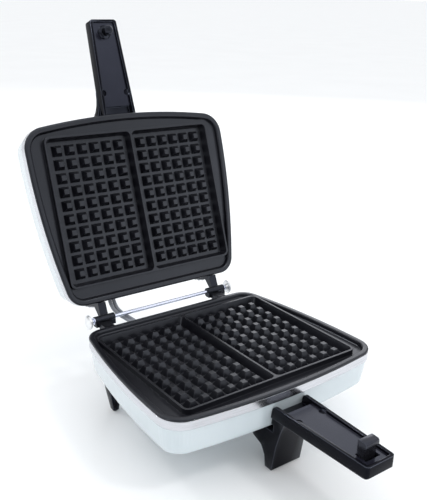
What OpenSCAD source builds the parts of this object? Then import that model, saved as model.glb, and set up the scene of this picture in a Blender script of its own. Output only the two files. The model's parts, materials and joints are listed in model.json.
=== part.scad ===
// Two-bay waffle maker with a hinged lid, long channel handles and tall legs.
// Every piece is drawn in the body frame: x = 0 is the middle of the body, y = 0 the middle of
// the plates (front is -y), z = 0 the table.  Lid pieces are drawn shut and swung open last.

/* [Stance] */
// Gap between the table and the underside of the base
leg_h = 53.5; // [50:0.5:70]
// How far the lid is swung open, in degrees from shut
open_deg = 110; // [0:1:110]
// Centre of a rear leg from the middle of the body
leg_x = 100.4; // [85:0.2:104]
// Centre of a rear leg behind the middle of the plates
leg_y = 86; // [75:1:90]

/* [Body] */
// Widest half width of the plate rim, near the front
half_w = 144.5; // [140:0.5:148]
// Distance from the middle of the plates to the bowed front edge
front_y = 115; // [112:1:118]
// Distance from the middle of the plates to the straight rear edge
rear_y = 116.2; // [114:0.2:118]
// Radius of the gently curved sides and front
bow_r = 850; // [700:10:1200]
// Corner radius at the front
front_r = 28; // [24:1:34]
// Corner radius at the rear
rear_r = 23; // [23:1:30]
// Height of one half, from the underside to the parting plane
half_h = 46; // [38:0.5:48]
// Wall of the moulded shells
shell_t = 2.5; // [2:0.1:3]
// Height of the metal trim band
band_h = 9.4; // [7:0.2:12]
// Thickness of the metal trim band
band_t = 1.1; // [0.8:0.1:1.4]

/* [Plates] */
// Spacing of the grid posts
pitch = 17; // [16:0.1:17.5]
// Posts across one bay
cols = 6; // [4:1:6]
// Posts from front to back
rows = 10; // [6:1:10]
// Height of a grid post
post_h = 7.8; // [6:0.2:11]
// Width of a grid post at its foot
post_foot = 13.3; // [11:0.1:14]
// Width of a grid post at its top
post_top = 6.2; // [5:0.1:9]
// Half width of the walled waffle area
wall_x = 119.8; // [118:0.1:121]
// Half depth of the walled waffle area
wall_y = 93.8; // [92:0.1:95]
// Thickness of the bay walls at their top
wall_t = 2.5; // [2:0.1:3]
// Depth of the drip gutter below the parting plane
gutter_drop = 6.5; // [5:0.1:8]
// Casting thickness
cast_t = 4; // [3:0.1:4]

/* [Hinge] */
// Hinge rod behind the middle of the plates
hinge_y = 136.6; // [134:0.1:140]
// Hinge rod below the parting plane
hinge_drop = 0.4; // [0:0.1:1]
// Radius of the hinge rod
rod_r = 2.5; // [2.3:0.1:2.6]
// Radius of the hinge knuckles
knuckle_r = 5; // [4.6:0.1:6]
// Middle of a hinge from the middle of the body
knuckle_x = 85.5; // [83:0.5:88]
// Radius of the round rod caps
cap_r = 9; // [7:0.5:10]

/* [Handles] */
// Tip of the handles from the middle of the plates
tip_y = 241; // [230:1:250]
// Half width of a handle at its root
root_w = 23.5; // [22:0.5:26]
// Half width of a handle at its tip
tip_w = 19.2; // [18:0.2:21]
// Gap from the parting plane to the open side of a handle
grip_drop = 18; // [16:0.5:22]
// Depth of a handle
grip_h = 14; // [12:0.5:16]
// Thickness of the handle rails
rail_t = 3.4; // [3:0.1:4]
// Depth of the channel down to its liner
channel_d = 3.2; // [2.5:0.1:4]
// Middle of the latch hook from the middle of the plates
latch_y = 222; // [220:1:224]

/* [Hidden] */

$fn = 48;
eps = 0.05;

// Heights above the table
part_z = leg_h + half_h;
hinge_z = part_z - hinge_drop;
rim_z = part_z - 1.3;
wall_z = part_z - 0.15;
post_z = part_z - 2.5;
bay_z = post_z - post_h;
gutter_z = part_z - gutter_drop;
lip_z = rim_z - 2.8;
cast_z = part_z - 16.5;
lid_cast_z = cast_z + 2.4;
floor_z = leg_h + shell_t;
shield_z = cast_z - 16;

// Middle of the whole open machine, which the origin sits under
mid_y = 28.7;

// Colours
silver = [0.86, 0.91, 0.94];
satin = [0.72, 0.75, 0.80];
charcoal = [0.12, 0.12, 0.14];
black = [0.06, 0.06, 0.07];
liner_grey = [0.40, 0.41, 0.47];
steel = [0.75, 0.77, 0.80];
rubber = [0.10, 0.10, 0.10];
cable_grey = [0.45, 0.47, 0.50];

// ---------------------------------------------------------------- outline of the body
// The front and the sides are arcs of bow_r, the rear is straight, and each corner is an arc
// tangent to both of its neighbours, so every inset of the outline is parallel to it.
front_c = [0, bow_r - front_y];
side_c = [half_w - bow_r, -80];

function heading(v) = atan2(v[1], v[0]);

// The point right of the line a-b that lies at distance r from both a and b
function apex(a, b, r) =
    let (d = b - a, h = sqrt(r * r - d * d / 4), n = [d[1], -d[0]] / norm(d))
    (a + b) / 2 - h * n;

corner_f = apex(front_c, side_c, bow_r - front_r);
corner_r = [
    side_c[0] + sqrt(pow(bow_r - rear_r, 2) - pow(rear_y - rear_r - side_c[1], 2)),
    rear_y - rear_r
];

function arc(c, r, a, b, n) =
    [for (i = [0 : n]) let (t = a + (b - a) * i / n) c + r * [cos(t), sin(t)]];

function half_outline(inset) = concat(
    arc(front_c, bow_r - inset, -90, heading(corner_f - front_c), 7),
    arc(corner_f, front_r - inset, heading(corner_f - front_c), heading(corner_f - side_c), 9),
    arc(side_c, bow_r - inset, heading(corner_f - side_c), heading(corner_r - side_c), 9),
    arc(corner_r, rear_r - inset, heading(corner_r - side_c), 90, 9)
);

function drop_joins(p) = [for (i = [0 : len(p) - 1]) if (norm(p[i] - p[(i + 1) % len(p)]) > 0.01) p[i]];

function outline(inset) =
    let (h = half_outline(inset), n = len(h))
    drop_joins(concat(h, [for (i = [n - 1 : -1 : 0]) [-h[i][0], h[i][1]]]));

function rounded_rect(w, d, r) = concat(
    arc([w - r, d - r], r, 0, 90, 7), arc([r - w, d - r], r, 90, 180, 7),
    arc([r - w, r - d], r, 180, 270, 7), arc([w - r, r - d], r, 270, 360, 7)
);

// ---------------------------------------------------------------- helpers
// Places a piece that belongs to the base
module on_base() { translate([0, -mid_y, 0]) children(); }

// Places a piece of the lid: it is drawn shut, then swung open about the hinge rod
module on_lid() {
    translate([0, hinge_y - mid_y, hinge_z])
        rotate([-open_deg, 0, 0])
            translate([0, -hinge_y, -hinge_z])
                children();
}

// Turns a piece of the base into the matching piece of the shut lid
module as_lid() { translate([0, 0, 2 * part_z]) mirror([0, 0, 1]) children(); }

// Copies a piece to both sides of the middle
module both_sides() {
    children();
    mirror([1, 0, 0]) children();
}

// A straight slab of the body outline
module slab(inset, z, h) {
    translate([0, 0, z]) linear_extrude(h) polygon(outline(inset));
}

// A solid through insets of the outline, given from bottom to top as [inset, z]
module loft(profile) {
    n = len(outline(0));
    m = len(profile);
    points = [for (p = profile) for (q = outline(p[0])) [q[0], q[1], p[1]]];
    walls = [
        for (k = [0 : m - 2]) for (i = [0 : n - 1])
            let (a = k * n + i, b = k * n + (i + 1) % n)
            [a, a + n, b + n, b]
    ];
    caps = [[for (i = [0 : n - 1]) i], [for (i = [n - 1 : -1 : 0]) (m - 1) * n + i]];
    polyhedron(points, concat(walls, caps), convexity = 4);
}

// A round rod of radius r through a list of points, with flat ends and sides faces
module sweep(path, r, sides = 8) {
    n = len(path);
    tangents = [for (i = [0 : n - 1])
        let (d = path[min(i + 1, n - 1)] - path[max(i - 1, 0)]) d / norm(d)];
    // A side direction carried along the path, so that the rod does not twist
    function carried(i) = i == 0
        ? first_side(tangents[0])
        : let (s = carried(i - 1), v = s - (s * tangents[i]) * tangents[i]) v / norm(v);
    points = [for (i = [0 : n - 1])
        let (u = carried(i), v = cross(tangents[i], u))
        for (k = [0 : sides - 1])
            path[i] + r * (cos(360 * k / sides) * u + sin(360 * k / sides) * v)];
    walls = [for (i = [0 : n - 2]) for (k = [0 : sides - 1])
        let (a = i * sides + k, b = i * sides + (k + 1) % sides)
        [a, a + sides, b + sides, b]];
    caps = [[for (k = [0 : sides - 1]) k],
        [for (k = [sides - 1 : -1 : 0]) (n - 1) * sides + k]];
    polyhedron(points, concat(walls, caps), convexity = 6);
}

function first_side(t) =
    let (v = cross(t, abs(t[2]) < 0.9 ? [0, 0, 1] : [0, 1, 0])) v / norm(v);

// A smooth curve through hand-chosen points, with steps points to each stretch
function smooth(p, steps) = concat(
    [for (i = [0 : len(p) - 2]) for (s = [0 : steps - 1]) blend_at(p, i, s / steps)],
    [p[len(p) - 1]]
);

function blend_at(p, i, t) =
    let (a = p[max(i - 1, 0)], b = p[i], c = p[i + 1], d = p[min(i + 2, len(p) - 1)])
    0.5 * ((2 * b) + (c - a) * t + (2 * a - 5 * b + 4 * c - d) * t * t
        + (3 * b - a - 3 * c + d) * t * t * t);

// ---------------------------------------------------------------- shells and trim
shell_outer = [
    [11.5, leg_h], [8.2, leg_h + 0.5], [6.3, leg_h + 1.8], [5.2, leg_h + 5], [1.2, lip_z - band_h],
    [1.2, lip_z]
];
shell_inner = [
    [11.5, floor_z], [8.4, floor_z + 1.5], [3.9, lip_z - band_h - 2], [3.9, lip_z + 1]
];
screw_x = 56;
screw_y = 78;
screw_r = 2;

module plate_screw_places() {
    for (x = [-screw_x, screw_x], y = [-screw_y, screw_y]) translate([x, y, 0]) children();
}

leg_screw_y = [leg_y - 26, leg_y - 13];

module leg_screw_places() {
    both_sides() for (y = leg_screw_y) translate([leg_x, y, 0]) children();
}

bracket_screw_z = [leg_h + 13, leg_h + 21.5];
bracket_screw_r = 1.6;

module bracket_screw_places() {
    both_sides() for (z = bracket_screw_z)
        translate([knuckle_x, rear_y, z]) rotate([-90, 0, 0]) children();
}

base_cable = [-40, leg_h + 23.5];
lid_cable = [-60, leg_h + 25.5];
strand_r = 2.4;
strand_gap = 2.7;
gland = [54, leg_h + 23.5];
gland_r = 6;

// Inset of the drafted walls at height z, and their lean
function wall_inset(z) = 5.2 - 4 * (z - leg_h - 5) / (lip_z - band_h - leg_h - 5);
wall_tilt = atan(4 / (lip_z - band_h - leg_h - 5));

// Puts z = 0 on the outside of the rear or front wall, with z pointing away from the body
module on_rear_wall(place) {
    translate([place[0], rear_y - wall_inset(place[1]), place[1]])
        rotate([-90 - wall_tilt, 0, 0]) children();
}

module on_front_wall(place) {
    translate([place[0], wall_inset(place[1]) - front_y, place[1]])
        rotate([90 + wall_tilt, 0, 0]) children();
}

handle_bolts = [[-12, leg_h + 14], [12, leg_h + 14]];
tongue_bolts = [[-11, -76], [11, -76]];

// A flat slab with fully rounded ends, from z = a to z = b
module oval(w, d, a, b) {
    translate([0, 0, a]) linear_extrude(b - a) polygon(rounded_rect(w, d, d));
}

// The tub shared by the base and the lid; the trim band sits in the step round its top
module tub(cable) {
    difference() {
        loft(shell_outer);
        loft(shell_inner);
        plate_screw_places() translate([0, 0, leg_h - 1]) cylinder(r = screw_r + 0.2, h = 6);
        for (b = handle_bolts) on_front_wall(b) translate([0, 0, -6]) cylinder(r = 2.2, h = 9);
        bracket_screw_places() translate([0, 0, -12]) cylinder(r = bracket_screw_r + 0.2, h = 14);
        on_rear_wall(cable) oval(strand_gap + 4.9, 4.9, -6, 3);
    }
}

module base_shell() {
    on_base() color(silver) difference() {
        tub(base_cable);
        leg_screw_places() translate([0, 0, leg_h - 1]) cylinder(r = screw_r + 0.2, h = 6);
        for (b = tongue_bolts) translate([b[0], b[1], leg_h - 1]) cylinder(r = 2.2, h = 6);
        on_rear_wall(gland) translate([0, 0, -6]) cylinder(r = gland_r + 0.1, h = 9);
    }
}

module lid_shell() { on_lid() color(silver) as_lid() tub(lid_cable); }

module trim_band() {
    difference() {
        slab(1.2 - band_t, lip_z - band_h, band_h - 0.1);
        slab(1.2, lip_z - band_h - 1, band_h + 2);
    }
}

module base_trim_band() { on_base() color(satin) trim_band(); }

module lid_trim_band() { on_lid() color(satin) as_lid() trim_band(); }

// ---------------------------------------------------------------- grid plates
wall_draft = 3.4;
first_post = 16.5;

// Long ridges with the cross-section of a post, side by side
module ridges(centres, length) {
    for (c = centres) translate([c, length / 2, 0]) rotate([90, 0, 0]) linear_extrude(length)
        polygon([
            [-post_foot / 2, bay_z - 1], [post_foot / 2, bay_z - 1], [post_foot / 2, bay_z],
            [post_top / 2, post_z], [-post_top / 2, post_z], [-post_foot / 2, bay_z]
        ]);
}

// Each post is where a ridge along y crosses a ridge along x
module posts() {
    columns = [for (i = [0 : cols - 1]) first_post + i * pitch];
    across = [for (j = [0 : rows - 1]) (j - (rows - 1) / 2) * pitch];
    intersection() {
        ridges(concat(columns, -columns), 2 * wall_y);
        rotate([0, 0, 90]) ridges(across, 2 * wall_x);
    }
}

// The drafted hollow of one bay
module bay() {
    x0 = wall_t / 2;
    x1 = wall_x - wall_t;
    y1 = wall_y - wall_t;
    w = (x1 - x0) / 2;
    translate([(x0 + x1) / 2, 0, 0]) hull() {
        translate([0, 0, wall_z]) linear_extrude(1) polygon(rounded_rect(w, y1, 6));
        translate([0, 0, bay_z]) linear_extrude(eps)
            polygon(rounded_rect(w - wall_draft, y1 - wall_draft, 3.5));
    }
}

// A grid plate whose casting reaches down to height low
module plate(low) {
    difference() {
        union() {
            difference() {
                union() {
                    slab(4.3, gutter_z - cast_t, lip_z - gutter_z + cast_t + 0.5);
                    loft([[0.2, lip_z], [0, lip_z + 1.2], [0.5, rim_z - 0.5], [1.8, rim_z]]);
                }
                loft([
                    [9, gutter_z], [8.2, gutter_z + 0.8], [7.2, rim_z - 1.4],
                    [6.6, rim_z - 0.4], [5.4, rim_z + eps]
                ]);
            }
            translate([0, 0, low]) linear_extrude(wall_z - low)
                polygon(rounded_rect(wall_x, wall_y, 8));
        }
        both_sides() bay();
        plate_screw_places() translate([0, 0, low - 1]) cylinder(r = screw_r + 0.1, h = 4);
    }
    posts();
}

module base_plate() { on_base() color(charcoal) plate(cast_z); }

module lid_plate() { on_lid() color(charcoal) as_lid() plate(lid_cast_z); }

// ---------------------------------------------------------------- heaters and shields
heater_r = 3.2;
heater_x = 76;
heater_front = -60;
heater_rear = 62;
heater_bend = 22;
heater_z = cast_z - heater_r - 0.1;
tail_x = 14;
lead_hole_y = heater_rear + 16;

// A quarter bend of the heater tube about a corner centre
module heater_bend_at(x, y, turn) {
    translate([x, y, heater_z]) rotate([0, 0, turn])
        rotate_extrude(angle = 90) translate([heater_bend, 0]) circle(heater_r);
}

module heater() {
    y0 = heater_front + heater_bend;
    y1 = heater_rear - heater_bend;
    x1 = heater_x - heater_bend;
    translate([-x1, heater_front, heater_z]) rotate([0, 90, 0]) cylinder(r = heater_r, h = 2 * x1);
    both_sides() {
        translate([heater_x, y0, heater_z]) rotate([-90, 0, 0])
            cylinder(r = heater_r, h = y1 - y0);
        translate([tail_x, heater_rear, heater_z]) rotate([0, 90, 0])
            cylinder(r = heater_r, h = x1 - tail_x);
        translate([tail_x - 8, heater_rear, heater_z]) rotate([0, 90, 0])
            cylinder(r = 1.4, h = 8 + eps);
        heater_bend_at(x1, y0, -90);
        heater_bend_at(x1, y1, 0);
    }
}

module base_heater() { on_base() color(steel) heater(); }

module lid_heater() {
    on_lid() color(steel) as_lid() translate([0, 0, lid_cast_z - cast_z]) heater();
}

// A shallow sheet pan under the heater, with holes for the standoffs and the leads
module heat_shield(thickness) {
    difference() {
        slab(17, shield_z, 7);
        slab(17 + thickness, shield_z + thickness, 8);
        plate_screw_places() translate([0, 0, shield_z - 1]) cylinder(r = 4.2, h = 4);
        translate([0, lead_hole_y, shield_z - 1]) cylinder(r = 9, h = 4);
    }
}

module base_heat_shield() { on_base() color(steel) heat_shield(1.6); }

module lid_heat_shield() { on_lid() color(steel) as_lid() heat_shield(0.8); }

module standoffs(low) {
    plate_screw_places() translate([0, 0, floor_z]) difference() {
        union() {
            cylinder(r = 6, h = shield_z - floor_z);
            cylinder(r = 4, h = low - floor_z);
        }
        translate([0, 0, -1]) cylinder(r = screw_r + 0.2, h = low - floor_z + 2);
    }
}

module base_standoffs() { on_base() color(steel) standoffs(cast_z); }

module lid_standoffs() { on_lid() color(steel) as_lid() standoffs(lid_cast_z); }

// A pan-head screw pointing up from z = 0, with a cross recess in its head
module screw(r, head_r, head_h, length) {
    difference() {
        rotate_extrude() polygon([
            [0, -head_h], [head_r * 0.7, -head_h], [head_r, -head_h * 0.45], [head_r, 0],
            [r, 0], [r, length - r / 2], [r / 2, length], [0, length]
        ]);
        for (turn = [0, 90]) rotate([0, 0, turn])
            translate([-head_r * 0.5, -head_r * 0.1, -head_h - 1])
                cube([head_r, head_r * 0.2, head_h * 0.5 + 1]);
    }
}

module plate_screws(low) {
    plate_screw_places() translate([0, 0, leg_h]) screw(screw_r, 3.8, 2.2, low + 2.6 - leg_h);
}

module base_plate_screws() { on_base() color(steel) plate_screws(cast_z); }

module lid_plate_screws() { on_lid() color(steel) as_lid() plate_screws(lid_cast_z); }

// ---------------------------------------------------------------- hinge
ear_out = 13.5;
ear_in = 6.7;
knuckle_gap = 0.2;
wall_face = rear_y + 0.3;
pad_t = 4.5;
rod_clear = 0.06;

// A round eye on the hinge axis at height h, from a to b beside the middle of the hinge
module eye(a, b, h) {
    translate([knuckle_x + a, hinge_y, h]) rotate([0, 90, 0]) cylinder(r = knuckle_r, h = b - a);
}

// A block from a to b beside the middle of the hinge, cut to a side profile of [y, z] points
module bracket_slice(a, b, profile) {
    translate([knuckle_x + a, 0, 0]) rotate([90, 0, 90]) linear_extrude(b - a) polygon(profile);
}

// The pad that lies against the drafted wall, with an arm out to below the hinge axis at h
module bracket_pad(a, b, h) {
    low = leg_h + 6;
    step = lip_z - band_h - 0.5;
    bracket_slice(a, b, [
        [rear_y - wall_inset(low) + 0.1, low], [wall_face + pad_t - 1, low],
        [wall_face + pad_t, low + 1], [wall_face + pad_t, h - 13.5], [hinge_y - 5, h - 7.4],
        [hinge_y - 2, h - 5], [hinge_y - 3.5, h - 1.4], [wall_face, h - 1.4], [wall_face, step],
        [rear_y - wall_inset(step) + 0.1, step]
    ]);
}

// The web that joins an eye at height h to its arm
module bracket_web(a, b, h) {
    bracket_slice(a, b, [
        [wall_face + pad_t, h - 12], [hinge_y - 3, h - 6.4], [hinge_y + knuckle_r - 1.2, h - 3.4],
        [hinge_y, h], [wall_face + 2, h - 1.4]
    ]);
}

module bracket_bores(h) {
    translate([0, hinge_y, h]) rotate([0, 90, 0])
        cylinder(r = rod_r + rod_clear, h = knuckle_x + 30);
    for (z = bracket_screw_z) translate([knuckle_x, rear_y - 12, z]) rotate([-90, 0, 0])
        cylinder(r = bracket_screw_r + 0.2, h = 30);
}

// Two ears on a bridge under the lid's knuckle, carried by one arm set to the left
module base_bracket() {
    difference() {
        union() {
            bracket_pad(-10, 3.6, hinge_z);
            eye(-ear_out, -ear_in, hinge_z);
            eye(ear_in, ear_out, hinge_z);
            bracket_slice(-ear_out, ear_out, [
                [hinge_y - 5.5, hinge_z - 7.4], [hinge_y + 1, hinge_z - 7.6],
                [hinge_y + 3.8, hinge_z - 6.2], [hinge_y + knuckle_r - 0.2, hinge_z],
                [hinge_y, hinge_z], [hinge_y - knuckle_r + 0.2, hinge_z - 1.5],
                [hinge_y - 5.5, hinge_z - 5]
            ]);
        }
        bracket_bores(hinge_z);
        translate([knuckle_x - ear_in, hinge_y, hinge_z]) rotate([0, 90, 0])
            cylinder(r = knuckle_r + 0.7, h = 2 * ear_in);
    }
}

module base_hinge_bracket_right() { on_base() color(black) base_bracket(); }

module base_hinge_bracket_left() {
    on_base() color(black) translate([-2 * knuckle_x, 0, 0]) base_bracket();
}

// One knuckle on an arm that fits between the ears, drawn on the base's side
module lid_bracket() {
    h = part_z + hinge_drop;
    half = ear_in - knuckle_gap;
    difference() {
        union() {
            bracket_pad(-4, half, h);
            eye(-half, half, h);
            bracket_web(-4, half, h);
        }
        bracket_bores(h);
    }
}

module lid_hinge_bracket_right() { on_lid() color(black) as_lid() lid_bracket(); }

module lid_hinge_bracket_left() {
    on_lid() color(black) as_lid() translate([-2 * knuckle_x, 0, 0]) lid_bracket();
}

module bracket_screws() {
    both_sides() for (z = bracket_screw_z)
        translate([knuckle_x, wall_face + pad_t, z]) rotate([90, 0, 0])
            screw(bracket_screw_r, 3, 1.8, 12);
}

module base_bracket_screws() { on_base() color(steel) bracket_screws(); }

module lid_bracket_screws() { on_lid() color(steel) as_lid() bracket_screws(); }

rod_half = 108;
washer_x = knuckle_x + ear_out + 0.1;

module hinge_rod() {
    on_base() color(steel) translate([-rod_half, hinge_y, hinge_z]) rotate([0, 90, 0])
        cylinder(r = rod_r, h = 2 * rod_half);
}

// A domed cap pressed on the end of the rod
module rod_cap() {
    translate([0, hinge_y, hinge_z]) rotate([0, 90, 0]) difference() {
        rotate_extrude() polygon(concat(
            [[0, 102.6], [3.8, 102.6], [3.8, 105.2], [cap_r - 0.8, 105.2]],
            [for (a = [0 : 15 : 90]) [
                (cap_r - 3.6) * (1 - pow(a / 90, 3)) + 3.6 * cos(a) * (a < 90 ? 1 : 0),
                106 + 4 * sin(a)]]
        ));
        translate([0, 0, 102]) cylinder(r = rod_r, h = rod_half - 102);
    }
}

module rod_cap_right() { on_base() color(steel) rod_cap(); }

module rod_cap_left() { on_base() color(steel) mirror([1, 0, 0]) rod_cap(); }

module rod_washers() {
    on_base() color(steel) both_sides() translate([washer_x, hinge_y, hinge_z]) rotate([0, 90, 0])
        difference() {
            cylinder(r = 4.4, h = 1.2);
            translate([0, 0, -1]) cylinder(r = rod_r + rod_clear, h = 4);
        }
}

// ---------------------------------------------------------------- handles and front foot
root_y = 112;
liner_from = 128;
rail_z = part_z - grip_drop;
grip_z = rail_z - grip_h;
liner_t = 1.4;
liner_z = rail_z - channel_d - liner_t;
shell_low = leg_h + 4.5;

// The grip seen from above, inset on its free sides; it ends at y = -from
function grip_outline(inset, from, r) =
    let (w0 = root_w - inset, w1 = tip_w - inset, t = inset - tip_y)
    concat(
        [[-w0, -from], [w0, -from]],
        [[w0, -from - eps]],
        [for (p = arc([w1 - r, t + r], r, 0, -90, 8)) p],
        [for (p = arc([r - w1, t + r], r, -90, -180, 8)) p],
        [[-w0, -from - eps]]
    );

// Side profile of the grip, from its tip to the drafted wall that it is bolted to
function grip_side() = [
    [-tip_y - 1, grip_z + 1.5], [-tip_y + 1, grip_z + 0.4], [-tip_y + 5, grip_z],
    [-140, grip_z - 0.5], [-112, grip_z - 0.5],
    [wall_inset(grip_z) - front_y - 0.1, grip_z - 0.5],
    [wall_inset(rail_z - 4) - front_y - 0.1, rail_z - 4],
    [wall_inset(rail_z) - front_y - 0.6, rail_z - 1.6], [-115.4, rail_z - 0.2],
    [-117.6, rail_z + 0.3], [-130, rail_z + 0.3],
    [-tip_y - 1, rail_z - 0.7]
];

// A slab across the handle with a side profile of [y, z] points
module across(half, profile) {
    translate([-half, 0, 0]) rotate([90, 0, 90]) linear_extrude(2 * half) polygon(profile);
}

// The end of the channel beside the wall, deeper than the liner, down to height z
module root_gap(z) {
    translate([0, 0, z]) linear_extrude(20) intersection() {
        polygon(grip_outline(rail_t, root_y - 7, 2.5));
        translate([-40, -liner_from]) square([80, 30]);
    }
}

module grip() {
    difference() {
        intersection() {
            translate([0, 0, grip_z - 2]) linear_extrude(grip_h + 4)
                polygon(grip_outline(0, root_y - 6, 4));
            across(30, grip_side());
        }
        translate([0, 0, liner_z]) linear_extrude(20)
            polygon(grip_outline(rail_t, root_y - 7, 2.5));
        root_gap(grip_z + 5.5);
        for (b = handle_bolts) on_front_wall(b) translate([0, 0, -1]) cylinder(r = 1.9, h = 13);
        for (x = [-17, 17]) translate([x, -grip_screw_y, rail_z - 3]) cylinder(r = 4, h = 5);
    }
}

grip_screw_y = 146;
hook_slot = [9.6, 230.5, 204.5];
slot_z = grip_z + 2;
pin_y = latch_y;
pin_z = grip_z + 6.5;
pin_r = 1.5;

module base_handle() {
    front = [[-110.5, 1.6], [-114.5, 1.6], [-119, leg_h * 0.6], [-125, leg_h], [-130, grip_z - 0.4]];
    rear = [
        [-113.4, shell_low], [-113.4, leg_h - 4.5], [-99, leg_h - 4.5], [-99, leg_h - 0.1],
        [-60, leg_h - 0.1], [-62, leg_h - 6], [-70, leg_h * 0.73], [-82, leg_h * 0.56],
        [-96, leg_h * 0.46], [-102, leg_h * 0.28], [-104, 1.6]
    ];
    on_base() color(black) difference() {
        union() {
            grip();
            across(21, concat(
                front, [[-130, grip_z + 4], [wall_inset(grip_z + 4) - front_y - 0.1, grip_z + 4],
                [wall_inset(shell_low) - front_y - 0.1, shell_low]], rear
            ));
        }
        across(17.5, [
            [-110.5, 6], [-112.5, 12], [-115, leg_h * 0.6], [-119, leg_h - 8], [-98, leg_h - 8],
            [-96, leg_h - 4.6], [-50, leg_h - 4.6], [-50, 20], [-90, 6]
        ]);
        for (b = tongue_bolts) translate([b[0], b[1], leg_h - 8]) cylinder(r = 2.2, h = 10);
        for (b = handle_bolts) on_front_wall(b) translate([0, 0, -1]) cylinder(r = 2, h = 13);
        root_gap(grip_z + 3.6);
        translate([-hook_slot[0], -hook_slot[1], slot_z])
            cube([2 * hook_slot[0], hook_slot[1] - hook_slot[2], 40]);
        translate([-14.5, -pin_y, pin_z]) rotate([0, 90, 0]) cylinder(r = pin_r, h = 44.5);
        translate([0, -109, 1.6 - 1]) cylinder(r = 1.6, h = 4);
    }
}

module lid_handle() {
    on_lid() color(black) as_lid() difference() {
        union() {
            grip();
            difference() {
                intersection() {
                    across(root_w + 8, [
                        [-152, grip_z + 1], [-148, grip_z - 0.4], [-140, grip_z - 1],
                        [-134, grip_z - 2.4], [-128, grip_z - 4.6], [-122, grip_z - 7.4],
                        [-117, grip_z - 9.6], [-106, grip_z - 9.6], [-106, grip_z + 5]
                    ]);
                    translate([0, 0, grip_z - 12]) linear_extrude(20) polygon([
                        [1.4 - root_w, -156], [0.3 - root_w, -140], [-root_w - 0.5, -132],
                        [-root_w - 1.8, -125], [-root_w - 4, -119], [-root_w - 5.5, -106],
                        [root_w + 5.5, -106], [root_w + 4, -119], [root_w + 1.8, -125],
                        [root_w + 0.5, -132], [root_w - 0.3, -140], [root_w - 1.4, -156]
                    ]);
                }
                across(40, [
                    [wall_inset(grip_z - 10) - front_y - 0.1, grip_z - 10],
                    [wall_inset(grip_z + 10) - front_y - 0.1, grip_z + 10],
                    [-90, grip_z + 10], [-90, grip_z - 10]
                ]);
            }
        }
        for (b = handle_bolts) on_front_wall(b) translate([0, 0, -1]) cylinder(r = 1.9, h = 13);
        translate([0, -post_y, liner_z - 8]) cylinder(r = 3, h = 9);
    }
}

module liner() {
    difference() {
        translate([0, 0, liner_z]) linear_extrude(liner_t) intersection() {
            polygon(grip_outline(rail_t + 0.1, root_y - 7, 2.4));
            translate([-40, -tip_y - 5]) square([80, tip_y + 5 - liner_from]);
        }
        for (x = [-17, 17]) translate([x, -grip_screw_y, liner_z - 1]) cylinder(r = 4.1, h = 5);
        children();
    }
}

module base_handle_liner() {
    on_base() color(liner_grey) liner()
        translate([-hook_slot[0], -hook_slot[1], liner_z - 1]) cube([2 * hook_slot[0], 14.4, 9]);
}

module lid_handle_liner() {
    on_lid() color(liner_grey) as_lid() liner()
        translate([0, -post_y, liner_z - 1]) cylinder(r = 3, h = 9);
}

module handle_screws() {
    for (b = handle_bolts) on_front_wall(b) translate([0, 0, -3.1]) screw(1.85, 3.8, 2.2, 13);
}

module base_handle_screws() {
    on_base() color(steel) {
        handle_screws();
        for (b = tongue_bolts) translate([b[0], b[1], leg_h - 4.7]) screw(2, 3.8, 2.2, 9);
    }
}

module lid_handle_screws() { on_lid() color(steel) as_lid() handle_screws(); }

// ---------------------------------------------------------------- latch
post_y = latch_y + 2.5;
post_end = part_z - 6.8;
hook_top = part_z - 3.6;
spring_y = pin_y - 12;
spring_r = 2;

// A round striking post with a collar, screwed into the lid handle
module latch_post() {
    top = liner_z + liner_t;
    on_lid() color(black) as_lid() translate([0, -post_y, 0]) rotate_extrude() polygon([
        [0, liner_z - 7], [2.9, liner_z - 7], [2.9, top], [8.8, top], [8.8, top + 1.4],
        [7.8, top + 2.4], [5.6, top + 3], [5.1, top + 4], [5.1, post_end - 3.2],
        [5.8, post_end - 2.6], [5.8, post_end - 0.8], [5, post_end],
        [3.4, post_end], [3, post_end - 0.6], [0, post_end - 0.6]
    ]);
}

// The hook that swings on its pin, with a thin tail that the spring lifts
module latch_hook() {
    on_base() color([0.34, 0.35, 0.37]) difference() {
        union() {
            across(9, [
                [-pin_y - 3, pin_z - 3.2], [-pin_y + 3.5, pin_z - 3.2], [-pin_y + 4.6, pin_z - 1],
                [-pin_y + 4.6, hook_top - 1.8], [-pin_y + 4, hook_top - 0.6],
                [-pin_y + 2.6, hook_top], [-pin_y - 4.4, hook_top - 0.3],
                [-pin_y - 5.8, hook_top - 1.2], [-pin_y - 6.4, hook_top - 2.8],
                [-pin_y - 6.4, hook_top - 6], [-pin_y - 5.6, hook_top - 7],
                [-pin_y - 3.6, hook_top - 7.6],
                [-pin_y - 3.6, pin_z - 1]
            ]);
            across(8.4, [
                [-pin_y + 4, pin_z + 1.2], [-pin_y + 15, pin_z + 1.2],
                [-pin_y + 15, pin_z + 2.8], [-pin_y + 4, pin_z + 2.8]
            ]);
        }
        translate([-10, -pin_y, pin_z]) rotate([0, 90, 0]) cylinder(r = pin_r + 0.05, h = 20);
    }
}

module latch_pin() {
    on_base() color(steel) translate([-14.4, -pin_y, pin_z]) rotate([0, 90, 0])
        cylinder(r = pin_r, h = 28.8);
}

// A short coil that stands on the floor of the slot and lifts the tail
module latch_spring() {
    turns = 3.5;
    low = slot_z + 0.45;
    high = pin_z + 1.2 - 0.45;
    on_base() color(steel) translate([0, -spring_y, 0]) sweep(
        [for (i = [0 : 42]) let (a = 360 * turns * i / 42)
            [spring_r * cos(a), spring_r * sin(a), low + (high - low) * i / 42]],
        0.4, 6
    );
}

// ---------------------------------------------------------------- legs and feet
leg_fore = 34;

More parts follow.
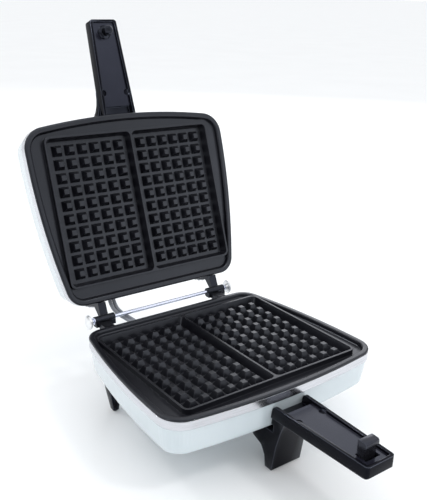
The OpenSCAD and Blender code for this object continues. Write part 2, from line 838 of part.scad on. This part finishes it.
// A tapered leg with a flange forward of it that is screwed to the underside
module rear_leg() {
    top = leg_h - 0.1;
    difference() {
        union() {
            intersection() {
                translate([0, leg_y + 7.5, 0]) rotate([90, 0, 0]) linear_extrude(15) polygon([
                    [leg_x - 3.8, 2], [leg_x - 2.8, 1.2], [leg_x + 2.8, 1.2], [leg_x + 3.9, 2],
                    [leg_x + 9, 28], [leg_x + 12.5, top - 6], [leg_x + 13.5, top],
                    [leg_x - 12, top], [leg_x - 9, top - 8], [leg_x - 5.6, 28]
                ]);
                across(150, [
                    [leg_y - 3.6, 1.2], [leg_y + 3.6, 1.2], [leg_y + 5.5, 26], [leg_y + 7.5, top],
                    [leg_y - 7.5, top], [leg_y - 6, 26]
                ]);
            }
            translate([leg_x - 9, leg_y - leg_fore, top - 4]) cube([18, leg_fore, 4]);
        }
        for (y = leg_screw_y) translate([leg_x, y, top - 6]) cylinder(r = 2.2, h = 8);
        translate([leg_x, leg_y, 0]) cylinder(r = 1.6, h = 4.2);
    }
}

module rear_leg_right() { on_base() color(black) rear_leg(); }

module rear_leg_left() { on_base() color(black) mirror([1, 0, 0]) rear_leg(); }

module leg_screws() {
    on_base() color(steel) both_sides() for (y = leg_screw_y)
        translate([leg_x, y, leg_h - 4.2]) screw(2, 3.8, 2.2, 9);
}

// Rubber tips with a stem pressed up into each leg and into the front foot
module foot_pads() {
    on_base() color(rubber) {
        both_sides() translate([leg_x, leg_y, 0]) rotate_extrude() polygon([
            [0, 0], [2.6, 0], [3.2, 0.5], [3.2, 1.15], [1.6, 1.15], [1.6, 4], [0, 4]
        ]);
        translate([-18, -112, 0]) cube([36, 6, 1.55]);
        translate([0, -109, 1.5]) cylinder(r = 1.6, h = 2.8);
    }
}

// ---------------------------------------------------------------- electrical parts
// A bulb thermostat: a disc against the plate, a body and two tabs
module thermostat() {
    on_base() color([0.80, 0.78, 0.70]) translate([-34, 4, 0]) {
        translate([0, 0, cast_z - 3]) cylinder(r = 8, h = 2.9);
        translate([-10, -8, cast_z - 11]) cube([20, 16, 8]);
        for (x = [-6, 6]) translate([x - 2, -0.4, cast_z - 13]) cube([4, 0.8, 2 + eps]);
    }
}

module thermal_fuse() {
    on_base() color([0.85, 0.85, 0.82]) translate([34, 4, cast_z - 2.6]) rotate([90, 0, 0]) {
        translate([0, 0, -8]) cylinder(r = 2.5, h = 16);
        translate([0, 0, -13]) cylinder(r = 0.6, h = 26);
    }
}

terminal = [30, 92];

module terminal_block() {
    on_base() color([0.92, 0.90, 0.84]) translate([terminal[0], terminal[1], floor_z + 0.1])
        difference() {
            translate([-14, -6, 0]) cube([28, 12, 7]);
            for (x = [-9, 0, 9]) {
                translate([x, -7, 3.2]) rotate([-90, 0, 0]) cylinder(r = 1.5, h = 14);
                translate([x, 0, 3]) cylinder(r = 1.8, h = 5);
            }
        }
}

// Insulated leads from the terminal block up through the shield to the heater tails
module base_leads() {
    for (s = [-1, 1])
        on_base() color([0.75, 0.72, 0.62]) sweep(smooth([
            [terminal[0] + 4.5 + 4.5 * s, terminal[1] - 6.5, floor_z + 3.3],
            [terminal[0] - 6 + 8 * s, lead_hole_y + 2, floor_z + 3.4],
            [4 * s + 4, lead_hole_y + 3, floor_z + 4.6], [4 * s, lead_hole_y, shield_z + 2],
            [4.4 * s, heater_rear + 6, heater_z - 1], [(tail_x - 8.5) * s, heater_rear + 2.6, heater_z]
        ], 6), 1.1, 8);
}

// A strain relief with a groove that the rear wall snaps into
module mains_gland() {
    on_base() color(black) on_rear_wall(gland) rotate_extrude() polygon([
        [3.6, -6], [gland_r + 1.6, -6], [gland_r + 1.6, -3.1], [gland_r, -3.1], [gland_r, 0.15],
        [gland_r + 2.5, 0.15], [gland_r + 2.5, 1.6], [gland_r + 1.5, 2.6], [5.4, 2.6],
        [4.9, 15], [4.4, 16], [3.6, 16]
    ]);
}

// An oval rubber grommet for the two strands of the link cable
module link_grommet() {
    difference() {
        union() {
            oval(strand_gap + 4.8, 4.8, -3.4, 0.6);
            oval(strand_gap + 6.6, 6.6, 0.15, 2.2);
            oval(strand_gap + 6.2, 6.2, -4.8, -3);
        }
        for (s = [-1, 1]) translate([s * strand_gap, 0, -8]) cylinder(r = strand_r + 0.15, h = 14);
    }
}

module base_link_grommet() { on_base() color(rubber) on_rear_wall(base_cable) link_grommet(); }

module lid_link_grommet() {
    on_lid() color(rubber) as_lid() on_rear_wall(lid_cable) link_grommet();
}

// Where a point of the shut lid's rear wall is with the lid open, in the body frame
function opened(p) =
    let (y = p[1] - hinge_y, z = p[2] - hinge_z, c = cos(open_deg), s = sin(open_deg))
    [p[0], hinge_y + y * c + z * s, hinge_z - y * s + z * c];

// A point at distance d outside the base's rear wall, and outside the open lid's rear wall
function off_base(x, d) = [
    x, rear_y - wall_inset(base_cable[1]) + d * cos(wall_tilt), base_cable[1] - d * sin(wall_tilt)
];
function off_lid(x, d) = opened([
    x, rear_y - wall_inset(lid_cable[1]) + d * cos(wall_tilt),
    2 * part_z - lid_cable[1] + d * sin(wall_tilt)
]);

// One strand, from inside the lid round behind the hinge rod to inside the base
module strand(dx) {
    on_base() color(cable_grey) sweep(smooth([
        off_lid(lid_cable[0] + dx, -9), off_lid(lid_cable[0] + dx, -4),
        off_lid(lid_cable[0] + dx, 2), off_lid(lid_cable[0] + dx, 7),
        [dx - 58.5, hinge_y + 20.5, hinge_z - 0.5], [dx - 55, hinge_y + 12.5, hinge_z - 6],
        [dx - 51, hinge_y + 3.5, hinge_z - 9], [dx - 46.5, hinge_y - 5, hinge_z - 12.5],
        [dx - 42.5, hinge_y - 12, hinge_z - 18],
        off_base(base_cable[0] + dx, 7), off_base(base_cable[0] + dx, 2),
        off_base(base_cable[0] + dx, -4), off_base(base_cable[0] + dx, -9)
    ], 5), strand_r, 10);
}

module link_cable_left() { strand(-strand_gap); }

module link_cable_right() { strand(strand_gap); }

// ---------------------------------------------------------------- assembly
base_shell();
base_trim_band();
base_plate();
base_heater();
base_heat_shield();
base_standoffs();
base_plate_screws();
base_hinge_bracket_left();
base_hinge_bracket_right();
base_bracket_screws();
hinge_rod();
rod_cap_left();
rod_cap_right();
rod_washers();
base_handle();
base_handle_liner();
base_handle_screws();
rear_leg_left();
rear_leg_right();
leg_screws();
foot_pads();
thermostat();
thermal_fuse();
terminal_block();
base_leads();
mains_gland();
base_link_grommet();
link_cable_left();
link_cable_right();
latch_hook();
latch_pin();
latch_spring();
lid_shell();
lid_trim_band();
lid_plate();
lid_heater();
lid_heat_shield();
lid_standoffs();
lid_plate_screws();
lid_hinge_bracket_left();
lid_hinge_bracket_right();
lid_bracket_screws();
lid_handle();
lid_handle_liner();
lid_handle_screws();
latch_post();
lid_link_grommet();
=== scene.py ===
"""Looks for the open waffle maker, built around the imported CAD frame."""

import json
import math

import bmesh
import bpy
from mathutils import Matrix, Vector

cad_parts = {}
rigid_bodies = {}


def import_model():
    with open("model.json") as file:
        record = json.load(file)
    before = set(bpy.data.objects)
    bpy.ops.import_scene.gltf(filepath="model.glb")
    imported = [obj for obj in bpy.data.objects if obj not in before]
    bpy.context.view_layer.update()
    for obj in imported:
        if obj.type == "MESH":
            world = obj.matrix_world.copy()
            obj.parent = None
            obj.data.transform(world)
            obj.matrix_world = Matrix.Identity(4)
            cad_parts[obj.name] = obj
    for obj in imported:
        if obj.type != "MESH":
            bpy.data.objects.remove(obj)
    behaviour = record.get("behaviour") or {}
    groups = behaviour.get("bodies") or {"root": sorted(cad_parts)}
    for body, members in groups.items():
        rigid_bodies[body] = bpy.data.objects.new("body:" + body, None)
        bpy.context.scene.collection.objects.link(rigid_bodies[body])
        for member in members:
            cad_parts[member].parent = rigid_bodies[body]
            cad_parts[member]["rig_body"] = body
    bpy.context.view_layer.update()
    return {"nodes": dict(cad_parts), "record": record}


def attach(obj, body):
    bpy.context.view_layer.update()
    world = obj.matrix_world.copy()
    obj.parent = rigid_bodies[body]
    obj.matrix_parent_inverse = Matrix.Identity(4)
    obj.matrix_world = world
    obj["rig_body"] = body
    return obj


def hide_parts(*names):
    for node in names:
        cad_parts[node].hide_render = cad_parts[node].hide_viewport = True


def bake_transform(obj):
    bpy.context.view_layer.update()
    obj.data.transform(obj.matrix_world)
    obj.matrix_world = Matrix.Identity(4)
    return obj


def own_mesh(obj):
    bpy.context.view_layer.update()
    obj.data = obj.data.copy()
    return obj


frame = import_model()
nodes = frame["nodes"]
scene = bpy.context.scene

MM = 0.001
WELD = 2e-6  # vertices of a CAD mesh closer than this are one
EDGE_WIDTH = 0.0011  # how far from a corner the band of painted highlight reaches
MID_Y = 28.7  # millimetres from the middle of the plates back to the CAD's origin
FIT_Z = 97.0  # millimetres up to the level plane that the camera was fitted to


def body_point(x, y, z):
    """A point given in millimetres in the body frame: y from the middle of the plates."""
    return Vector((x, y - MID_Y, z)) * MM


# ---------------------------------------------------------------- camera, in millimetres
AZIMUTH = math.radians(-36.96)
ELEVATION = math.radians(19.76)
ROLL = math.radians(1.75)
DISTANCE = 843.44
SHIFT_RIGHT = -13.78
SHIFT_UP = 111.34
LENS = 51.93
SENSOR_WIDTH = 36


def make_camera():
    right = Vector((math.cos(AZIMUTH), math.sin(AZIMUTH), 0))
    back = Vector((
        math.sin(AZIMUTH) * math.cos(ELEVATION),
        -math.cos(AZIMUTH) * math.cos(ELEVATION),
        math.sin(ELEVATION),
    ))
    up = back.cross(right)
    rolled_right = right * math.cos(ROLL) + up * math.sin(ROLL)
    rolled_up = up * math.cos(ROLL) - right * math.sin(ROLL)
    spot = rolled_right * SHIFT_RIGHT + rolled_up * SHIFT_UP + back * DISTANCE
    data = bpy.data.cameras.new("camera")
    data.lens = LENS
    data.sensor_width = SENSOR_WIDTH
    data.clip_start = 0.05
    data.clip_end = 400
    camera = bpy.data.objects.new("camera", data)
    turn = Matrix((rolled_right, rolled_up, back)).transposed().to_4x4()
    place = body_point(spot.x, spot.y, spot.z + FIT_Z)
    camera.matrix_world = Matrix.Translation(place) @ turn
    scene.collection.objects.link(camera)
    scene.camera = camera


make_camera()

# ---------------------------------------------------------------- materials


class Shader:
    """A small helper that builds a node material around one Principled BSDF."""

    def __init__(self, name):
        self.material = bpy.data.materials.new(name)
        self.material.use_nodes = True
        self.tree = self.material.node_tree
        self.surface = self.tree.nodes["Principled BSDF"]
        self.spot = self.new("ShaderNodeTexCoord").outputs["Object"]

    def new(self, kind, **settings):
        node = self.tree.nodes.new(kind)
        for key, value in settings.items():
            setattr(node, key, value)
        return node

    def link(self, a, b):
        self.tree.links.new(a, b)

    def set(self, **values):
        for key, value in values.items():
            self.surface.inputs[key.replace("_", " ")].default_value = value

    def noise(self, scale, stretch=(1, 1, 1), detail=3.0, rough=0.5):
        mapping = self.new("ShaderNodeMapping")
        mapping.inputs["Scale"].default_value = stretch
        self.link(self.spot, mapping.inputs["Vector"])
        noise = self.new("ShaderNodeTexNoise")
        noise.inputs["Scale"].default_value = scale
        noise.inputs["Detail"].default_value = detail
        noise.inputs["Roughness"].default_value = rough
        self.link(mapping.outputs["Vector"], noise.inputs["Vector"])
        return noise.outputs["Fac"]

    def ramp(self, value, low, high, start=0.3, end=0.7):
        ramp = self.new("ShaderNodeValToRGB")
        ramp.color_ramp.elements[0].position = start
        ramp.color_ramp.elements[1].position = end
        ramp.color_ramp.elements[0].color = (*low, 1)
        ramp.color_ramp.elements[1].color = (*high, 1)
        self.link(value, ramp.inputs["Fac"])
        return ramp.outputs["Color"]

    def span(self, value, low, high):
        """Maps 0..1 to low..high."""
        span = self.new("ShaderNodeMapRange")
        span.inputs["To Min"].default_value = low
        span.inputs["To Max"].default_value = high
        self.link(value, span.inputs["Value"])
        return span.outputs["Result"]

    def edges(self, radius, flat, edge):
        """A value that is flat on open faces and rises to edge along sharp corners."""
        bevel = self.new("ShaderNodeBevel", samples=6)
        bevel.inputs["Radius"].default_value = radius
        face = self.new("ShaderNodeNewGeometry")
        dot = self.new("ShaderNodeVectorMath", operation="DOT_PRODUCT")
        self.link(bevel.outputs["Normal"], dot.inputs[0])
        self.link(face.outputs["True Normal"], dot.inputs[1])
        span = self.new("ShaderNodeMapRange")
        span.inputs["From Min"].default_value = 0.995
        span.inputs["From Max"].default_value = 0.9
        span.inputs["To Min"].default_value = flat
        span.inputs["To Max"].default_value = edge
        self.link(dot.outputs["Value"], span.inputs["Value"])
        return span.outputs["Result"]

    def bump(self, height, distance, strength=1.0, rounding=0.0):
        bump = self.new("ShaderNodeBump")
        bump.inputs["Distance"].default_value = distance
        bump.inputs["Strength"].default_value = strength
        self.link(height, bump.inputs["Height"])
        if rounding:
            bevel = self.new("ShaderNodeBevel", samples=6)
            bevel.inputs["Radius"].default_value = rounding
            self.link(bevel.outputs["Normal"], bump.inputs["Normal"])
        self.link(bump.outputs["Normal"], self.surface.inputs["Normal"])


def moulded(
    name, low, high, rough, spread,
    grain=0.00002, rounding=0.0005, coat=0.0, gloss=0.5, edge_highlight_gloss=0.0, painted_reflection_tint=(1, 1, 1),
):
    """Moulded plastic or rubber: faint colour drift, uneven gloss and a fine grain.

    edge_highlight_gloss is how shiny the corners are, set far above the faces as a painted highlight
    along them; painted_reflection_tint tints reflections with a painted colour of the light they show.
    """
    m = Shader(name)
    drift = m.noise(14, detail=2)
    m.link(m.ramp(drift, low, high), m.surface.inputs["Base Color"])
    m.link(m.span(m.noise(60, detail=4), rough - spread, rough + spread), m.surface.inputs["Roughness"])
    m.bump(m.noise(900, detail=3), grain, 0.35, rounding)
    m.set(Coat_Weight=coat, Coat_Roughness=0.12, Specular_IOR_Level=gloss)
    # painted reflection colour: reflections are tinted in the material to carry the bluish cast of the
    # light
    m.set(Specular_Tint=(*painted_reflection_tint, 1))
    # painted highlight: the corners are made far more reflective than the faces, so thin highlight
    # lines run along them
    if edge_highlight_gloss:
        m.link(m.edges(EDGE_WIDTH, gloss, edge_highlight_gloss), m.surface.inputs["Specular IOR Level"])
    return m.material


def metal(
    name, low, high, rough, spread,
    stretch=(1, 1, 1), scale=300, grain=0.00002, rounding=0.0004,
):
    """Metal with streaks along the directions that stretch makes long."""
    m = Shader(name)
    streaks = m.noise(scale, stretch, detail=5, rough=0.65)
    m.link(m.ramp(streaks, low, high), m.surface.inputs["Base Color"])
    m.link(m.span(streaks, rough - spread, rough + spread), m.surface.inputs["Roughness"])
    m.bump(streaks, grain, 0.4, rounding)
    m.set(Metallic=1.0)
    return m.material


PAINTED_REFLECTION_BLUE = (0.70, 0.77, 1.0)  # painted bluish tint on reflections, standing in for the bluish cast of the light that black plastic reflects
MATERIALS = {
    "shell": moulded("shell", (0.60, 0.675, 0.715), (0.64, 0.71, 0.745), 0.2, 0.04, coat=0.4),
    "trim": metal("trim", (0.46, 0.47, 0.50), (0.78, 0.79, 0.83), 0.22, 0.08, (0.03, 0.03, 3), 700),
    # the plate's reflections carry a faint painted bluish tint of the light
    "plate": moulded(
        "plate", (0.004, 0.004, 0.006), (0.008, 0.008, 0.011), 0.30, 0.05,
        0.00004, 0.0008, gloss=0.48, painted_reflection_tint=(0.84, 0.89, 1.0),
    ),
    "heater": metal("heater", (0.20, 0.18, 0.17), (0.32, 0.30, 0.28), 0.5, 0.1),
    "base_pan": metal("base_pan", (0.55, 0.56, 0.58), (0.68, 0.69, 0.70), 0.35, 0.1, (1, 0.1, 1)),
    "lid_pan": metal("lid_pan", (0.66, 0.67, 0.69), (0.78, 0.79, 0.80), 0.35, 0.1, (1, 0.1, 1)),
    "bracket": moulded(
        "bracket", (0.004, 0.004, 0.005), (0.008, 0.008, 0.009), 0.36, 0.06, gloss=0.35, painted_reflection_tint=PAINTED_REFLECTION_BLUE
    ),
    "fastener": metal("fastener", (0.50, 0.51, 0.53), (0.66, 0.67, 0.69), 0.3, 0.08),
    "rod": metal("rod", (0.52, 0.55, 0.68), (0.74, 0.77, 0.88), 0.16, 0.05, (0.05, 1, 1), 600),
    "cap": metal("cap", (0.78, 0.79, 0.80), (0.90, 0.91, 0.92), 0.38, 0.08),
    "handle": moulded(
        "handle", (0.0025, 0.0025, 0.004), (0.005, 0.005, 0.0075), 0.19, 0.04,
        rounding=0.0008, gloss=0.07, edge_highlight_gloss=1.3, painted_reflection_tint=PAINTED_REFLECTION_BLUE,
    ),
    "liner": moulded(
        "liner", (0.008, 0.008, 0.013), (0.013, 0.013, 0.020), 0.17, 0.04, gloss=0.6, painted_reflection_tint=PAINTED_REFLECTION_BLUE
    ),
    "hook": moulded(
        "hook", (0.010, 0.010, 0.013), (0.018, 0.018, 0.022), 0.26, 0.05,
        gloss=0.35, edge_highlight_gloss=0.8, painted_reflection_tint=PAINTED_REFLECTION_BLUE,
    ),
    "post": moulded(
        "post", (0.002, 0.002, 0.003), (0.004, 0.004, 0.005), 0.1, 0.03,
        gloss=0.3, edge_highlight_gloss=1.2, painted_reflection_tint=PAINTED_REFLECTION_BLUE,
    ),
    "rubber": moulded("rubber", (0.008, 0.008, 0.008), (0.014, 0.014, 0.014), 0.7, 0.08),
    "cable": moulded("cable", (0.24, 0.25, 0.28), (0.32, 0.335, 0.37), 0.34, 0.06),
    "insulator": moulded("insulator", (0.60, 0.56, 0.48), (0.70, 0.67, 0.60), 0.6, 0.08),
    "lead": moulded("lead", (0.45, 0.41, 0.30), (0.55, 0.50, 0.38), 0.6, 0.08),
}

slot_of = {p["node"]: p["material_slot"] for p in frame["record"]["subparts"]}


def paint(obj, material):
    obj.data.materials.clear()
    obj.data.materials.append(material)


def smooth_by_angle(obj, degrees):
    """Smooth faces whose edges are softer than the angle, with the rest left crisp."""
    mesh = obj.data
    mesh.polygons.foreach_set("use_smooth", [True] * len(mesh.polygons))
    edit = bmesh.new()
    edit.from_mesh(mesh)
    for edge in edit.edges:
        edge.smooth = edge.calc_face_angle(0) < math.radians(degrees)
    edit.to_mesh(mesh)
    edit.free()


for name, node in nodes.items():
    paint(node, MATERIALS[slot_of[name]])

# ---------------------------------------------------------------- copies of CAD nodes
HANDLE_ROUNDING = 0.0012
SMALL_ROUNDING = 0.0009


def welded_copy(name, suffix, flat_degrees=None):
    """A copy of a CAD node with its vertices welded, and flat faces joined where asked."""
    copy = bpy.data.objects.new(name + suffix, nodes[name].data.copy())
    scene.collection.objects.link(copy)
    edit = bmesh.new()
    edit.from_mesh(copy.data)
    bmesh.ops.remove_doubles(edit, verts=edit.verts, dist=WELD)
    if flat_degrees:
        bmesh.ops.dissolve_limit(
            edit, angle_limit=math.radians(flat_degrees), verts=edit.verts, edges=edit.edges
        )
    edit.to_mesh(copy.data)
    edit.free()
    return copy


def stand_in(copy, name, crisp):
    """Finishes a copy that replaces a CAD node: edges sharper than crisp degrees stay crisp."""
    paint(copy, MATERIALS[slot_of[name]])
    smooth_by_angle(copy, crisp)
    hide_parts(name)


def apply_modifiers(obj):
    graph = bpy.context.evaluated_depsgraph_get()
    mesh = bpy.data.meshes.new_from_object(obj.evaluated_get(graph))
    obj.modifiers.clear()
    obj.data = mesh


def rounded_copy(name, radius):
    """A copy of a CAD node with its sharp edges rounded, which stands in for it."""
    copy = welded_copy(name, "_rounded", flat_degrees=0.6)
    bevel = copy.modifiers.new("rounding", "BEVEL")
    bevel.width = radius
    bevel.segments = 3
    bevel.limit_method = "ANGLE"
    bevel.angle_limit = math.radians(35)
    bevel.use_clamp_overlap = True
    bevel.harden_normals = False
    apply_modifiers(copy)
    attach(copy, nodes[name]["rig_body"])
    stand_in(copy, name, crisp=40)


for name in ("base_handle", "lid_handle"):
    rounded_copy(name, HANDLE_ROUNDING)
for name in ("latch_hook", "rear_leg_left", "rear_leg_right"):
    rounded_copy(name, SMALL_ROUNDING)


def short_spring():
    """The latch spring, as a welded copy with a mesh of its own, fixed to the base."""
    copy = welded_copy("latch_spring", "_soft")
    stand_in(copy, "latch_spring", crisp=70)
    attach(copy, "base")
    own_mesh(copy)


def link_strand(name):
    """A strand between the two grommets, as a welded copy whose placement is baked into its mesh."""
    copy = welded_copy(name, "_soft")
    stand_in(copy, name, crisp=50)
    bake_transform(copy)


short_spring()
for name in ("link_cable_left", "link_cable_right"):
    link_strand(name)

# ---------------------------------------------------------------- floor, lights, world
FLOOR = [(-60, -20, 0), (90, -20, 0), (90, 140, 0), (-60, 140, 0)]
WORLD_STRENGTH = 1.24


def make_floor():
    mesh = bpy.data.meshes.new("floor")
    mesh.from_pydata(FLOOR, [], [(0, 1, 2, 3)])
    floor = bpy.data.objects.new("floor", mesh)
    scene.collection.objects.link(floor)
    m = Shader("floor")
    m.link(m.ramp(m.noise(3), (0.93, 0.935, 0.94), (0.95, 0.955, 0.96)), m.surface.inputs["Base Color"])
    m.link(m.span(m.noise(40), 0.85, 0.95), m.surface.inputs["Roughness"])
    m.set(Specular_IOR_Level=0.2)
    paint(floor, m.material)


def panel(name, place, aim, width, height, radiance, colour=(1, 1, 1)):
    """A soft box that shines with a given radiance towards a point."""
    data = bpy.data.lights.new(name, "AREA")
    data.shape = "RECTANGLE"
    data.size = width
    data.size_y = height
    data.energy = radiance * math.pi * width * height
    data.color = colour
    light = bpy.data.objects.new(name, data)
    light.location = place
    direction = Vector(aim) - Vector(place)
    light.rotation_euler = direction.to_track_quat("-Z", "Y").to_euler()
    scene.collection.objects.link(light)


def make_world():
    """White overhead and at the horizon, with a dimmer band between them."""
    world = bpy.data.worlds.new("studio")
    scene.world = world
    world.use_nodes = True
    tree = world.node_tree
    background = tree.nodes["Background"]
    spot = tree.nodes.new("ShaderNodeTexCoord")
    axes = tree.nodes.new("ShaderNodeSeparateXYZ")
    ramp = tree.nodes.new("ShaderNodeValToRGB")
    tree.links.new(spot.outputs["Generated"], axes.inputs["Vector"])
    tree.links.new(axes.outputs["Z"], ramp.inputs["Fac"])
    tree.links.new(ramp.outputs["Color"], background.inputs["Color"])
    stops = [(0.0, 1.0), (0.04, 1.0), (0.09, 0.3), (0.42, 0.34), (0.6, 1.0), (1.0, 1.0)]
    while len(ramp.color_ramp.elements) < len(stops):
        ramp.color_ramp.elements.new(0.5)
    for element, (place, value) in zip(ramp.color_ramp.elements, stops):
        element.position = place
        element.color = (value * 0.97, value * 0.985, value, 1)
    background.inputs["Strength"].default_value = WORLD_STRENGTH


make_floor()
make_world()
scene.view_settings.view_transform = "Standard"
scene.view_settings.look = "None"
panel("front_right", (1.5, -2.0, 0.95), (0, 0.1, 0.25), 1.5, 0.9, 1.7, (0.95, 0.97, 1.0))
panel("back_right", (1.75, 1.9, 1.05), (0.05, 0, 0.1), 1.5, 0.8, 2.6, (0.94, 0.95, 1.0))
panel("left", (-2.2, -0.3, 0.8), (0, 0, 0.15), 0.5, 1.0, 3.0)
panel("key", (0.5, -1.2, 1.8), (0, 0, 0.1), 0.3, 0.3, 22.0)
panel("rim", (-0.9, 1.3, 1.6), (0, 0, 0.1), 0.25, 0.25, 26.0)
